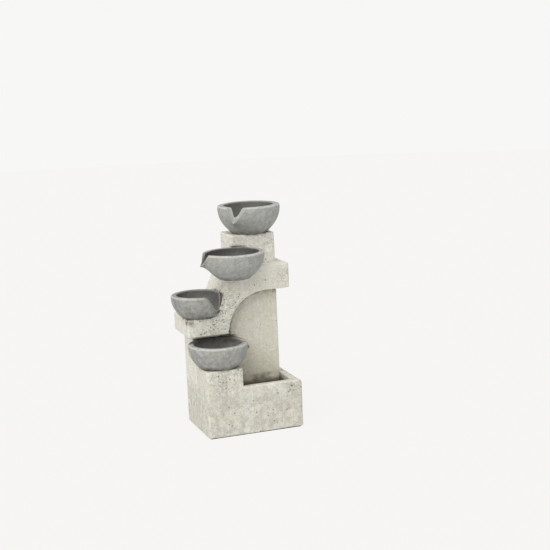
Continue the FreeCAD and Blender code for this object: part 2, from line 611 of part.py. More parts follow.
pump_out = pz + ph + 6.0
barb = new_body("pump_outlet_barb", outlet_x, py, pump_out)
rod(barb, "barb_flange", (0, 0, 0), 2.0, 8.5)
rod(barb, "barb_stem", (0, 0, -7), 8.0, 4.55)
rod(barb, "barb_pipe", (0, 0, 0), 16.0, size("tube_inner") - 0.05)
rod(barb, "barb_bore", (0, 0, -8), 30.0, 3.2, cut=True)

# ---- supply tube: straight runs joined by tangent arcs -------------------------------------------
tube_low = pump_out + 2.0
tube_high = bowl_floor + 1.5 - stem
route = [vec(outlet_x, py, tube_low), vec(outlet_x, py, 120.0), vec(top_x, top_y, 250.0),
         vec(top_x, top_y, tube_high)]
edges = []
last = route[0]
for i in (1, 2):
    a, b, c = route[i - 1], route[i], route[i + 1]
    back = (a - b).normalize()
    ahead = (c - b).normalize()
    turn = math.pi - back.getAngle(ahead)
    reach = 0.45 * min((a - b).Length, (c - b).Length)
    radius = reach / math.tan(turn / 2)
    start = b + back * reach
    end = b + ahead * reach
    inward = (back + ahead).normalize()
    middle = b + inward * (radius / math.cos(turn / 2) - radius)
    edges.append(Part.LineSegment(last, start).toShape())
    edges.append(Part.Arc(start, middle, end).toShape())
    last = end
edges.append(Part.LineSegment(last, route[3]).toShape())
spine = Part.Wire(edges)
walls = []
for radius in (size("tube_outer"), size("tube_inner")):
    ring = Part.Wire([Part.Circle(route[0], Z_AXIS, radius).toShape()])
    walls.append(spine.makePipeShell([ring], True, False))
tube_shape = walls[0].cut(walls[1])
section = math.pi * (size("tube_outer") ** 2 - size("tube_inner") ** 2)
if abs(tube_shape.Volume / (section * spine.Length) - 1) > 0.01:
    raise ValueError("supply tube volume does not match its length")
tube = doc.addObject("Part::Feature", "supply_tube")
tube.Label = "supply_tube"
tube.Shape = tube_shape
tube.Placement = FreeCAD.Placement(vec(0, 0, LIFT), FreeCAD.Rotation())

clips = new_body("tube_clips")
for i, (cx, cy, cz) in enumerate(((outlet_x, py, tube_low + 4), (top_x, top_y, tube_high - 10))):
    rod(clips, "clip_%d" % i, (cx, cy, cz), 5.0, size("tube_outer") + 1.6)
for i, (cx, cy, cz) in enumerate(((outlet_x, py, tube_low + 4), (top_x, top_y, tube_high - 10))):
    rod(clips, "clip_hole_%d" % i, (cx, cy, cz - 1), 7.0, size("tube_outer") + 0.05, cut=True)

# ---- rear hatch and cord grommet ------------------------------------------------------------------
hatch = new_body("rear_hatch")
box(hatch, "hatch_plate", (hatch_x - hatch_half - 3.6, BACK - 3.3, hatch_low - 3.6),
    (hatch_x + hatch_half + 3.6, BACK - 0.3, hatch_high + 3.6))
box(hatch, "hatch_plug", (hatch_x - hatch_half + 0.4, BACK - 9.5, hatch_low + 0.4),
    (hatch_x + hatch_half - 0.4, BACK - 2.0, hatch_high - 0.4))
box(hatch, "hatch_hollow", (hatch_x - hatch_half + 2.6, BACK - 11, hatch_low + 2.6),
    (hatch_x + hatch_half - 2.6, BACK - 3.3, hatch_high - 2.6), cut=True)
box(hatch, "finger_slot", (hatch_x - 14, BACK - 12, hatch_high - 20),
    (hatch_x + 14, BACK + 1, hatch_high - 10), cut=True)

grommet = new_body("cord_grommet")
rod(grommet, "neck", (grommet_x, chamber_back, grommet_z), BACK - chamber_back, 6.2, Y_AXIS)
rod(grommet, "inner_flange", (grommet_x, chamber_back - 2, grommet_z), 2.0, 9.0, Y_AXIS)
rod(grommet, "outer_flange", (grommet_x, BACK, grommet_z), 2.0, 9.0, Y_AXIS)
rod(grommet, "grommet_bore", (grommet_x, chamber_back - 4, grommet_z), 20.0, 3.0, Y_AXIS, cut=True)

# ---- checks and export ------------------------------------------------------------------------------
doc.recompute()
for item in doc.Objects:
    if "Invalid" in item.State or "Error" in item.State:
        raise ValueError("%s is in state %s" % (item.Label, item.State))
os.makedirs("parts", exist_ok=True)
for item in bodies + [tube]:
    shape = item.Shape
    if shape.isNull() or not shape.isValid() or not shape.Solids:
        raise ValueError("%s has no valid solid" % item.Label)
    shape.exportStep("parts/%s.step" % item.Label)
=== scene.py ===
# %% [markdown]
# # A tabletop cascade fountain in cast stone
# The fountain is a cast basin, a hollow tower behind it, an arched slab on the tower's front and four
# spouted bowls. A small pump behind a hatch lifts the water to the top bowl. The engineering model already
# gives every piece its place and size, so it is loaded first and stays as it is. This lesson gives the
# pieces their looks.

# %% Load the engineering model
import bmesh
import bpy
import math
import numpy as np
from collections import namedtuple
from mathutils import Matrix, Vector


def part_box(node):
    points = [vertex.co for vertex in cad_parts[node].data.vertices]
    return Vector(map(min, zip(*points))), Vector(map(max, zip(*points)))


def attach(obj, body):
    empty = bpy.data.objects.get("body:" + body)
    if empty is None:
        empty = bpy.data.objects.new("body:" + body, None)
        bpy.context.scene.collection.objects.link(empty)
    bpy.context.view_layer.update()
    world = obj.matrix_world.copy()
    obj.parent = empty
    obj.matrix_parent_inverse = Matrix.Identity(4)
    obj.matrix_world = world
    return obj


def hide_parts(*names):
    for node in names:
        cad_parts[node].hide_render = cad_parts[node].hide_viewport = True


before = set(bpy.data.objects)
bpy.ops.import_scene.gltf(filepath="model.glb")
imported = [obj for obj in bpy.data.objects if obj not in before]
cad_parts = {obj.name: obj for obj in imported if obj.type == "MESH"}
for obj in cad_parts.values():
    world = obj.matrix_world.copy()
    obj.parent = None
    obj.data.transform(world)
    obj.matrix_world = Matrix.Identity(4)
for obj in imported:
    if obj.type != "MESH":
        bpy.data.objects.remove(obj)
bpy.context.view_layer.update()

MM = 0.001


def box_mm(node):
    """The lowest and highest corners of an engineering piece at rest, in mm, to a hundredth."""
    return [np.round(np.array(corner) / MM, 2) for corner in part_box(node)]


def put_in_scene(name, data):
    """An object that shows the data, linked into the scene."""
    thing = bpy.data.objects.new(name, data)
    bpy.context.scene.collection.objects.link(thing)
    return thing


# %% [markdown]
# ## Camera
# A product picture is taken from a little to the left of the front and slightly above, with a long lens so
# that upright edges stay nearly parallel. The camera's own three axes are worked out from its heading, its
# downward tilt and a small roll, and they become the columns of its matrix.

# %% Camera
CAMERA_PLACE = (-0.6768, -2.1096, 0.6692)
HEADING, DOWN, ROLL = 19.51, 10.06, -2.517
SENSOR_WIDTH, LENS = 36.0, 81.12


def camera_matrix(heading, down, roll):
    """Forward from heading and downward tilt; right is level; the roll turns right and up about forward."""
    h, d, t = math.radians(heading), math.radians(down), math.radians(roll)
    forward = Vector((math.sin(h) * math.cos(d), math.cos(h) * math.cos(d), -math.sin(d)))
    level = Vector((math.cos(h), -math.sin(h), 0))
    above = level.cross(forward)
    right = math.cos(t) * level + math.sin(t) * above
    up = -math.sin(t) * level + math.cos(t) * above
    return Matrix((right, up, -forward)).transposed().to_4x4()


camera = put_in_scene("camera", bpy.data.cameras.new("camera"))
camera.data.sensor_width = SENSOR_WIDTH
camera.data.lens = LENS
camera.matrix_world = Matrix.Translation(CAMERA_PLACE) @ camera_matrix(HEADING, DOWN, ROLL)
bpy.context.scene.camera = camera
print("camera stands", round(Vector(CAMERA_PLACE).length, 2), "m from the fountain")

# %% [markdown]
# ## Nodes with less typing
# A material is a graph of nodes. A few small helpers keep the graphs readable. They add a node and fill its
# sockets, do sums, and start a material or a node group. A group is an effect with named inputs and outputs
# that several materials share.

# %% Node helpers


def connect(tree, node, sockets):
    """Fills a node's sockets: a number or colour is set, and another node's output is linked."""
    for key, value in sockets.items():
        if isinstance(value, bpy.types.NodeSocket):
            tree.links.new(value, node.inputs[key])
        else:
            node.inputs[key].default_value = value


def add(tree, kind, sockets=None, **settings):
    """Adds a shader node with its settings and its sockets."""
    node = tree.nodes.new("ShaderNode" + kind)
    for key, value in settings.items():
        setattr(node, key, value)
    connect(tree, node, sockets or {})
    return node


def calc(tree, operation, a, b=0.0, clamp=False):
    """One Math node; returns its output."""
    return add(tree, "Math", {0: a, 1: b}, operation=operation, use_clamp=clamp).outputs[0]


def times(tree, a, b):
    """The product of two values."""
    return calc(tree, "MULTIPLY", a, b)


def span(tree, value, low, high, to_low=0.0, to_high=1.0):
    """Maps low..high to to_low..to_high with soft ends."""
    sockets = {"Value": value, "From Min": low, "From Max": high, "To Min": to_low, "To Max": to_high}
    return add(tree, "MapRange", sockets, interpolation_type="SMOOTHSTEP").outputs["Result"]


def blend_colour(tree, factor, a, b, kind="MIX"):
    """Mixes two colours by factor."""
    first_colour, second_colour, mixed_colour = 6, 7, 2
    node = add(tree, "Mix", {0: factor, first_colour: a, second_colour: b}, data_type="RGBA", blend_type=kind)
    return node.outputs[mixed_colour]


def tint(red, green, blue):
    """A colour from the 0 to 255 numbers of a colour chart, as the linear light that shaders use."""
    c = np.array([red, green, blue]) / 255
    light = np.where(c <= 0.04045, c / 12.92, ((c + 0.055) / 1.055) ** 2.4)
    return (*[float(v) for v in light], 1.0)


def start_material(name):
    """A new material; returns it with its tree, its Principled BSDF and its object coordinates."""
    material = bpy.data.materials.new(name)
    material.use_nodes = True
    tree = material.node_tree
    return material, tree, tree.nodes["Principled BSDF"], add(tree, "TexCoord").outputs["Object"]


def start_group(name, inputs, outputs):
    """A node group with the named sockets; returns the tree, its input node and its output node."""
    tree = bpy.data.node_groups.new(name, "ShaderNodeTree")
    for label, kind, default in inputs:
        socket = tree.interface.new_socket(label, in_out="INPUT", socket_type="NodeSocket" + kind)
        if default is not None:
            socket.default_value = default
    for label, kind in outputs:
        tree.interface.new_socket(label, in_out="OUTPUT", socket_type="NodeSocket" + kind)
    return tree, tree.nodes.new("NodeGroupInput"), tree.nodes.new("NodeGroupOutput")


def place_group(tree, group, **values):
    """Puts a group into a tree with its own values; returns its outputs."""
    sockets = {key.replace("_", " "): value for key, value in values.items()}
    return add(tree, "Group", sockets, node_tree=group).outputs


# %% [markdown]
# ## Floor and light
# The fountain stands on a plain pale floor under soft light from the upper left. One sun with a wide disc
# gives soft shadows and lights the floor evenly, however far it reaches. The world fills the shadows. What
# the camera sees of the world is paler than what lights the fountain, so the backdrop can be nearly white
# while stone keeps its own tone. The floor does the same: most of what the camera sees of it is a plain
# glow, and the rest is paper that takes the shadow.

# %% Floor and light
FILL = 0.70
SUN_STRENGTH = 2.05
SUN_DISC = math.radians(60)
SUN_FROM = Vector((-0.50, -0.50, 0.70))
FLOOR_RADIUS = 6.0
FLOOR_GLOW_SHARE = 0.93

world = bpy.data.worlds.new("studio")
bpy.context.scene.world = world
world.use_nodes = True
tree = world.node_tree
tree.nodes.clear()
rays = add(tree, "LightPath")
seen = calc(tree, "MAXIMUM", rays.outputs["Is Camera Ray"], rays.outputs["Is Glossy Ray"])
seen = calc(tree, "MAXIMUM", seen, rays.outputs["Is Transmission Ray"])
fill = add(tree, "Background", {"Color": (1.0, 1.0, 1.0, 1.0), "Strength": FILL})
backdrop = add(tree, "Background", {"Color": tint(247, 247, 246), "Strength": 1.0})
either = add(tree, "MixShader", {0: seen, 1: fill.outputs[0], 2: backdrop.outputs[0]})
add(tree, "OutputWorld", {"Surface": either.outputs[0]})

sun = put_in_scene("soft_key", bpy.data.lights.new("soft_key", "SUN"))
sun.data.energy = SUN_STRENGTH
sun.data.angle = SUN_DISC
sun.data.color = (1.0, 0.985, 0.96)
sun.matrix_world = SUN_FROM.to_track_quat("Z", "Y").to_matrix().to_4x4()

floor_mesh = bpy.data.meshes.new("floor")
around = np.linspace(0, 2 * np.pi, 96, endpoint=False)
rim = np.stack([FLOOR_RADIUS * np.cos(around), FLOOR_RADIUS * np.sin(around), 0 * around], 1)
floor_mesh.from_pydata(rim.tolist(), [], [list(range(len(rim)))])
floor = put_in_scene("floor", floor_mesh)
paper = bpy.data.materials.new("floor_paper")
paper.use_nodes = True
tree = paper.node_tree
sheet = tree.nodes["Principled BSDF"]
connect(tree, sheet, {"Base Color": tint(222, 222, 220), "Roughness": 0.95, "Specular IOR Level": 0.0})
glow = add(tree, "Emission", {"Color": tint(247, 246, 244), "Strength": 1.0})
share = times(tree, add(tree, "LightPath").outputs["Is Camera Ray"], FLOOR_GLOW_SHARE)
both = add(tree, "MixShader", {0: share, 1: sheet.outputs[0], 2: glow.outputs[0]})
connect(tree, tree.nodes["Material Output"], {"Surface": both.outputs[0]})
floor_mesh.materials.append(paper)
print("sun", SUN_STRENGTH, "W per square metre, world fill", FILL)

# %% [markdown]
# ## Shared effects: mottle, pits, wear and moulded skin
# Cast stone is never one colour. It has broad patches where the mix dried differently, small clouds, and a
# sandy grain. Air bubbles leave pits that come in clusters. Edges are rubbed paler in broken patches, and
# painted light pales some parts through the same patches. Moulded plastic has a fine texture and marks from
# handling. Each effect is a group that returns a mask or a height, so stone, bowls and plastic can use it at
# their own scale.

# %% Mottle group
mottle, gin, gout = start_group(
    "Cast mottle",
    [("Vector", "Vector", None), ("Patch scale", "Float", 22.0), ("Cloud scale", "Float", 110.0),
     ("Grain scale", "Float", 380.0)],
    [("Patches", "Float"), ("Clouds", "Float"), ("Grain", "Float")])
LAYERS = [("Patch scale", "Patches", 2.0, 0.36, 0.64), ("Cloud scale", "Clouds", 4.0, 0.34, 0.66),
          ("Grain scale", "Grain", 3.0, 0.34, 0.66)]
for scale, output, detail, low, high in LAYERS:
    noise = add(mottle, "TexNoise", {"Vector": gin.outputs["Vector"], "Scale": gin.outputs[scale],
                                     "Detail": detail, "Roughness": 0.6})
    connect(mottle, gout, {output: span(mottle, noise.outputs["Fac"], low, high)})
print("mottle group:", len(mottle.nodes), "nodes")

# %% Pit group
pits, gin, gout = start_group(
    "Bubble pits",
    [("Vector", "Vector", None), ("Pit scale", "Float", 260.0), ("Share", "Float", 0.3),
     ("Cluster scale", "Float", 28.0), ("Smallest", "Float", 0.15), ("Largest", "Float", 0.36)],
    [("Pit", "Float")])
cells = add(pits, "TexVoronoi", {"Vector": gin.outputs["Vector"], "Scale": gin.outputs["Pit scale"]})
draw = add(pits, "SeparateColor", {"Color": cells.outputs["Color"]})
cluster = add(pits, "TexNoise", {"Vector": gin.outputs["Vector"], "Scale": gin.outputs["Cluster scale"],
                                 "Detail": 3.0, "Roughness": 0.6})
crowd = span(pits, cluster.outputs["Fac"], 0.38, 0.66)
chosen = calc(pits, "LESS_THAN", draw.outputs[0], times(pits, crowd, gin.outputs["Share"]))
radius = span(pits, draw.outputs[1], 0.0, 1.0, gin.outputs["Smallest"], gin.outputs["Largest"])
depth = calc(pits, "SUBTRACT", 1.0, calc(pits, "DIVIDE", cells.outputs["Distance"], radius), clamp=True)
connect(pits, gout, {"Pit": times(pits, span(pits, depth, 0.0, 0.7), chosen)})
print("pit group:", len(pits.nodes), "nodes")

# %% Edge wear group
# The Wear input carries rubbed edges and painted light, so both break up into patches.
edge_wear, gin, gout = start_group(
    "Edge wear",
    [("Vector", "Vector", None), ("Wear", "Float", 0.0), ("Breakup scale", "Float", 160.0)],
    [("Rubbed", "Float")])
breakup = add(edge_wear, "TexNoise", {"Vector": gin.outputs["Vector"], "Scale": gin.outputs["Breakup scale"],
                                      "Detail": 3.0})
broken = span(edge_wear, breakup.outputs["Fac"], 0.25, 0.6, 0.35, 1.0)
connect(edge_wear, gout, {"Rubbed": calc(edge_wear, "MULTIPLY", gin.outputs["Wear"], broken, clamp=True)})
print("edge wear group:", len(edge_wear.nodes), "nodes")

# %% Moulded skin group
moulded, gin, gout = start_group(
    "Moulded skin",
    [("Vector", "Vector", None), ("Texture scale", "Float", 1500.0), ("Handling scale", "Float", 60.0)],
    [("Texture", "Float"), ("Handling", "Float")])
fine = add(moulded, "TexNoise", {"Vector": gin.outputs["Vector"], "Scale": gin.outputs["Texture scale"],
                                 "Detail": 1.0})
wipes = add(moulded, "TexNoise", {"Vector": gin.outputs["Vector"], "Scale": gin.outputs["Handling scale"],
                                  "Detail": 4.0})
connect(moulded, gout, {"Texture": fine.outputs["Fac"],
                        "Handling": span(moulded, wipes.outputs["Fac"], 0.35, 0.65)})
print("shared groups:", sorted(g.name for g in bpy.data.node_groups))

# %% [markdown]
# ## Cast stone
# The castings are a pale sandy mix and the bowls a cooler grey one, but both are made the same way, so one
# function builds both. It reads five masks stored on each piece's points: wear and light, for rubbed outer
# edges and for painted light that pales some parts; damp and shade, where water stands and for painted
# shade at the spouts' tips; shade and dirt, mostly painted shade where pieces meet and in corners; warm,
# where the smooth front panel is darker and yellower; and pitted, where bubbles crowd together.

# %% Layers of the stone
MASKS = ("wear", "damp", "stain", "warm", "pitted")
PANEL_TAN = tint(206, 199, 179)
# the colour of painted shade where pieces meet and in corners, and of dirt
SHADE_AND_DIRT_COLOUR = tint(92, 82, 64)
VEIN = tint(120, 115, 102)
PIT_SHADE = tint(78, 73, 62)


def stone_pits(tree, where, pitted, share, scale):
    """The deeper of small pits and fewer pits of twice the size; both crowd where the pitted mask is high."""
    crowd = calc(tree, "ADD", share, times(tree, pitted, 1.6))
    small = place_group(tree, pits, Vector=where, Pit_scale=scale, Share=crowd)
    large = place_group(tree, pits, Vector=where, Pit_scale=scale * 0.5, Share=times(tree, crowd, 0.45),
                        Cluster_scale=17.0, Smallest=0.13, Largest=0.27)
    return calc(tree, "MAXIMUM", small["Pit"], large["Pit"])


def stone_grain(tree, where, grain, speckle):
    """A grey near 1 to multiply the colour by: sandy grain times faint upright streaks."""
    upright = add(tree, "Mapping", {"Vector": where, "Scale": (330.0, 330.0, 14.0)}).outputs[0]
    streak = add(tree, "TexNoise", {"Vector": upright, "Scale": 1.0, "Detail": 2.0}).outputs["Fac"]
    streak = span(tree, streak, 0.3, 0.7, 1.0 - 0.3 * speckle, 1.0 + 0.2 * speckle)
    speck = times(tree, span(tree, grain, 0.0, 1.0, 1.0 - speckle, 1.0 + 0.6 * speckle), streak)
    return add(tree, "CombineColor", {0: speck, 1: speck, 2: speck}).outputs[0]


def stone_veins(tree, where, pitted):
    """Thin lines where a noise crosses its middle value, at half strength times the pitted mask."""
    noise = add(tree, "TexNoise", {"Vector": where, "Scale": 130.0, "Detail": 5.0, "Roughness": 0.65})
    off_middle = calc(tree, "ABSOLUTE", calc(tree, "SUBTRACT", noise.outputs["Fac"], 0.5))
    line = span(tree, off_middle, 0.0, 0.05, 1.0, 0.0)
    return times(tree, times(tree, line, pitted), 0.5)


# %% Stone material


def stone_material(name, pale, deep, warm, cool, rubbed_and_lit, wet_and_shade, pit_share, pit_scale, rough, speckle):
    """Principled BSDF whose colour, roughness and bump come from the shared groups and the stored masks."""
    material, tree, shader, where = start_material(name)
    masks = {mask: add(tree, "Attribute", attribute_name=mask).outputs["Fac"] for mask in MASKS}
    mix = place_group(tree, mottle, Vector=where)
    shifted = add(tree, "Mapping", {"Vector": where, "Location": (0.31, 0.17, 0.53)}).outputs[0]
    other = place_group(tree, mottle, Vector=shifted, Patch_scale=31.0, Cloud_scale=60.0)
    veins = stone_veins(tree, where, masks["pitted"])
    rubbing_and_light = place_group(tree, edge_wear, Vector=where, Wear=masks["wear"])["Rubbed"]
    panel_tone = times(tree, masks["warm"], span(tree, other["Clouds"], 0.0, 1.0, 0.4, 0.8))
    shade_and_dirt_share = times(tree, masks["stain"], span(tree, mix["Clouds"], 0.0, 1.0, 0.5, 1.0))
    smooth = calc(tree, "SUBTRACT", 1.0, times(tree, masks["warm"], 0.85))
    pit = times(tree, stone_pits(tree, where, masks["pitted"], pit_share, pit_scale), smooth)

    colour = blend_colour(tree, mix["Clouds"], pale, deep)
    colour = blend_colour(tree, times(tree, mix["Patches"], 0.4), colour, warm)
    colour = blend_colour(tree, times(tree, other["Patches"], 0.22), colour, cool)
    colour = blend_colour(tree, 1.0, colour, stone_grain(tree, where, mix["Grain"], speckle), "MULTIPLY")
    for share, over in ((panel_tone, PANEL_TAN), (times(tree, rubbing_and_light, 0.8), rubbed_and_lit), (shade_and_dirt_share, SHADE_AND_DIRT_COLOUR), (veins, VEIN),
                        (masks["damp"], wet_and_shade), (times(tree, pit, 0.78), PIT_SHADE)):
        colour = blend_colour(tree, share, colour, over)

    relief = calc(tree, "ADD", times(tree, mix["Grain"], 0.5), times(tree, mix["Clouds"], 0.5))
    relief = calc(tree, "SUBTRACT", relief, times(tree, pit, 1.6))
    relief = calc(tree, "SUBTRACT", relief, veins)
    bump = add(tree, "Bump", {"Height": relief, "Strength": 0.6, "Distance": 0.8 * MM})
    roughness = calc(tree, "SUBTRACT", rough, times(tree, masks["damp"], 0.45))
    connect(tree, shader, {"Base Color": colour, "Roughness": roughness, "Specular IOR Level": 0.35,
                           "Normal": bump.outputs[0]})
    return material


sand_cast = stone_material(
    "sand_cast_stone", pale=tint(227, 226, 217), deep=tint(211, 209, 198), warm=tint(216, 210, 191),
    cool=tint(203, 204, 201), rubbed_and_lit=tint(240, 238, 230), wet_and_shade=tint(104, 98, 74), pit_share=0.35,
    pit_scale=190.0, rough=0.9, speckle=0.12)
grey_cast = stone_material(
    "grey_cast_stone", pale=tint(172, 173, 170), deep=tint(145, 147, 144), warm=tint(157, 152, 143),
    cool=tint(140, 143, 142), rubbed_and_lit=tint(198, 198, 193), wet_and_shade=tint(82, 81, 77), pit_share=0.12,
    pit_scale=240.0, rough=0.82, speckle=0.11)
print("stone materials:", sand_cast.name, grey_cast.name)

# %% [markdown]
# ## Noise worked out on whole arrays
# The castings need real relief too: faces that are not quite flat and edges that are not quite straight.
# The noise here is random numbers on a cubic lattice, blended between the lattice points. Because it depends
# only on place, two castings that meet get the same relief and their faces run on without a step.

# %% Relief noise
LATTICE = 32


def lattice_noise(points, cell, seed):
    """Random numbers from -1 to 1 on a lattice of side cell, blended with t*t*(3-2t) along each axis."""
    table = np.random.default_rng(seed).uniform(-1, 1, (LATTICE, LATTICE, LATTICE))
    grid = points / cell
    low = np.floor(grid).astype(int)
    t = grid - low
    t = t * t * (3 - 2 * t)
    total = np.zeros(len(points))
    for corner in range(8):
        step = np.array([corner & 1, corner >> 1 & 1, corner >> 2 & 1])
        weight = np.prod(np.where(step, t, 1 - t), axis=1)
        i, j, k = ((low + step) % LATTICE).T
        total += weight * table[i, j, k]
    return total


def stone_relief(points):
    """Waves of 30 mm, lumps of 9 mm and roughness of 3.5 mm, each about half the height of the last."""
    return (0.30 * lattice_noise(points, 30 * MM, 3) + 0.16 * lattice_noise(points, 9 * MM, 5)
            + 0.09 * lattice_noise(points, 3.5 * MM, 7)) * MM


# %% [markdown]
# ## Masks on points
# A mask such as damp and shade, or wear and light, belongs to a place on a piece. It is stored as a number on
# each point, where the material reads it by name and where it stays with the piece when the piece moves.

# %% Mask helpers


def smoothstep(value, low, high):
    """0 below low, 1 above high, and t*t*(3-2t) between."""
    t = np.clip((value - low) / (high - low), 0, 1)
    return t * t * (3 - 2 * t)


def read_points(mesh, field):
    """The field "co" or "normal" of every point, as an array with three columns."""
    values = np.empty(len(mesh.vertices) * 3)
    mesh.vertices.foreach_get(field, values)
    return values.reshape(-1, 3)


def store_masks(mesh, **given):
    """Stores every mask as one number on each point; a mask that is not given is zero."""
    for mask in MASKS:
        values = given.get(mask, np.zeros(len(mesh.vertices)))
        layer = mesh.attributes.new(mask, "FLOAT", "POINT")
        layer.data.foreach_set("value", np.asarray(values, dtype=np.float32))


def neighbour_mean(mesh, values):
    """The mean of each point's neighbours along the mesh's edges."""
    pairs = np.empty(len(mesh.edges) * 2, dtype=np.int64)
    mesh.edges.foreach_get("vertices", pairs)
    a, b = pairs.reshape(-1, 2).T
    count = np.bincount(a, minlength=len(values)) + np.bincount(b, minlength=len(values))
    total = np.zeros_like(values)
    np.add.at(total, a, values[b])
    np.add.at(total, b, values[a])
    return total / np.maximum(count, 1)[:, None]


def outward_bend(mesh, points, normals):
    """How far each point stands out from the mean around it: above 0 on outer edges, below 0 in corners."""
    mean = neighbour_mean(mesh, neighbour_mean(mesh, points))
    return -((mean - points) * normals).sum(1)


# %% [markdown]
# ## Bowls as functions
# Each bowl is a closed cross-section carried round an axis. The outer wall is a rising curve from the foot
# to the rim, the rim is a rounded lip, and the inner wall follows at the lip's width. Near one direction the
# lip is pressed down into a V and pulled outwards into a beak, which sends the water into the next bowl.
# The seats and heights come from the engineering model.

# %% Bowl sizes
TOP, UPPER, MIDDLE, LOWER = "top_bowl", "upper_bowl", "middle_bowl", "lower_bowl"
Bowl = namedtuple("Bowl", "x y rim foot lip facing seat height")
# centre x and y, rim radius, foot radius, lip width, and the spout's direction in degrees
PLANS = {TOP: (34.0, 26.0, 57.0, 31.5, 12.0, -134.0),
         UPPER: (-23.4, -50.0, 55.0, 27.0, 9.5, 177.0),
         MIDDLE: (-80.0, 0.0, 47.0, 26.5, 10.5, -49.0),
         LOWER: (-55.0, -32.5, 53.6, 34.5, 10.5, -12.0)}
BOWLS = {}
for name, plan in PLANS.items():
    low, high = box_mm(name)
    BOWLS[name] = Bowl(*plan, seat=low[2], height=round(high[2] - low[2], 2))
LIP_ROUND_OUT, LIP_ROUND_IN = 3.0, 2.0
FLOOR_THICK = 9.0
# how much smaller the radius is inside, where the inner wall meets the floor, than at the foot outside
FOOT_WALL = 5.0
# how wet each bowl's inside is, how dark its spout's tip is (wet and painted shade under the beak), and which
# side of the tip gets more painted shade
WETNESS = {TOP: (0.8, 0.25, -1), UPPER: (1.0, 0.95, -1), MIDDLE: (0.8, 0.75, 1), LOWER: (0.55, 1.0, -1)}
# how much paler each bowl's outside is painted, as painted light, and how much darker all over, as painted
# shade
BOWL_PAINTED_TONE = {TOP: (0.24, 0.0), UPPER: (0.14, 0.0), MIDDLE: (0.0, 0.16), LOWER: (0.0, 0.0)}
print("bowl seats in mm:", {name: float(bowl.seat) for name, bowl in BOWLS.items()})

# %% Bowl section


def wall_radius(share, foot, rim):
    """foot + (rim-foot)*(1-(1-share)^2.3): the wall spreads quickly low down and is upright at the rim."""
    return foot + (rim - foot) * (1 - (1 - share) ** 2.3)


def bowl_section(bowl):
    """Half cross-section: from the middle of the underside up the outside, over the lip, to the floor."""
    share = np.linspace(0, 1, 60)
    back = share[::-1]
    turn = np.linspace(0, np.pi / 2, 12)
    sine, cosine = np.sin(turn), np.cos(turn)
    inner = bowl.rim - bowl.lip
    out_top, in_top = bowl.height - LIP_ROUND_OUT, bowl.height - LIP_ROUND_IN
    outside = [wall_radius(share, bowl.foot, bowl.rim), share * out_top]
    lip_out = [bowl.rim - LIP_ROUND_OUT * (1 - cosine), bowl.height - LIP_ROUND_OUT * (1 - sine)]
    lip_in = [inner + LIP_ROUND_IN * (1 - sine), bowl.height - LIP_ROUND_IN * (1 - cosine)]
    inside = [wall_radius(back, bowl.foot - FOOT_WALL, inner), FLOOR_THICK + back * (in_top - FLOOR_THICK)]
    curves = [np.stack(curve, 1) for curve in (outside, lip_out, lip_in, inside)]
    return np.concatenate([[(0, 0)], *curves, [(0, FLOOR_THICK)]])


def even_steps(path, step, rounding):
    """Points at even distances along the path, with corners softened by a running mean."""
    length = np.concatenate([[0], np.cumsum(np.hypot(*np.diff(path, axis=0).T))])
    at = np.linspace(0, length[-1], int(length[-1] / step) + 1)
    even = np.stack([np.interp(at, length, path[:, k]) for k in (0, 1)], 1)
    window = np.ones(rounding) / rounding
    padded = np.pad(even, ((rounding // 2, rounding // 2), (0, 0)), mode="edge")
    soft = np.stack([np.convolve(padded[:, k], window, mode="valid") for k in (0, 1)], 1)
    soft[0], soft[-1] = even[0], even[-1]
    return soft


# %% [markdown]
# The beak is a bend of the finished bowl surface. Sideways distance from the spout's middle line decides how
# strongly a point moves; height decides which part of the move it gets. Each spout has nine values:
#
# - drop and fall: how far the V sinks at the lip's inner edge, and how much further at its outer edge
# - half_in and half_out: the V's half width at those two edges
# - reach: how far the beak sticks out past the rim
# - keel: how fast the beak dies away below the rim, as a power of height
# - edge: the lip's width at the V, where it is thinner than elsewhere
# - cut: how much of the wall's own curve the pressed lip follows inwards
# - hook: how far the wall below the beak is hollowed, in mm

# %% Spout formula
Spout = namedtuple("Spout", "drop fall half_in half_out reach keel edge cut hook")
SPOUTS = {TOP: Spout(16.0, 9.0, 12.0, 18.0, 10.0, 1.4, 11.0, 0.0, 0.0),
          UPPER: Spout(18.0, 2.5, 15.0, 22.0, 8.5, 4.5, 5.0, 0.0, 2.5),
          MIDDLE: Spout(27.0, 6.0, 27.0, 32.0, 1.5, 1.5, 6.0, 0.45, 0.0),
          LOWER: Spout(9.0, 2.0, 6.0, 7.0, 5.0, 4.0, 4.0, 0.0, 1.0)}
# how far below the V the bend dies away, and how far inside the inner wall it begins
SPOUT_UNDER = 11.0
WALL_REACH = 9.0
# the rows of the section that count as the top of the lip lie this close to the rim
RIM_SLACK = 0.3


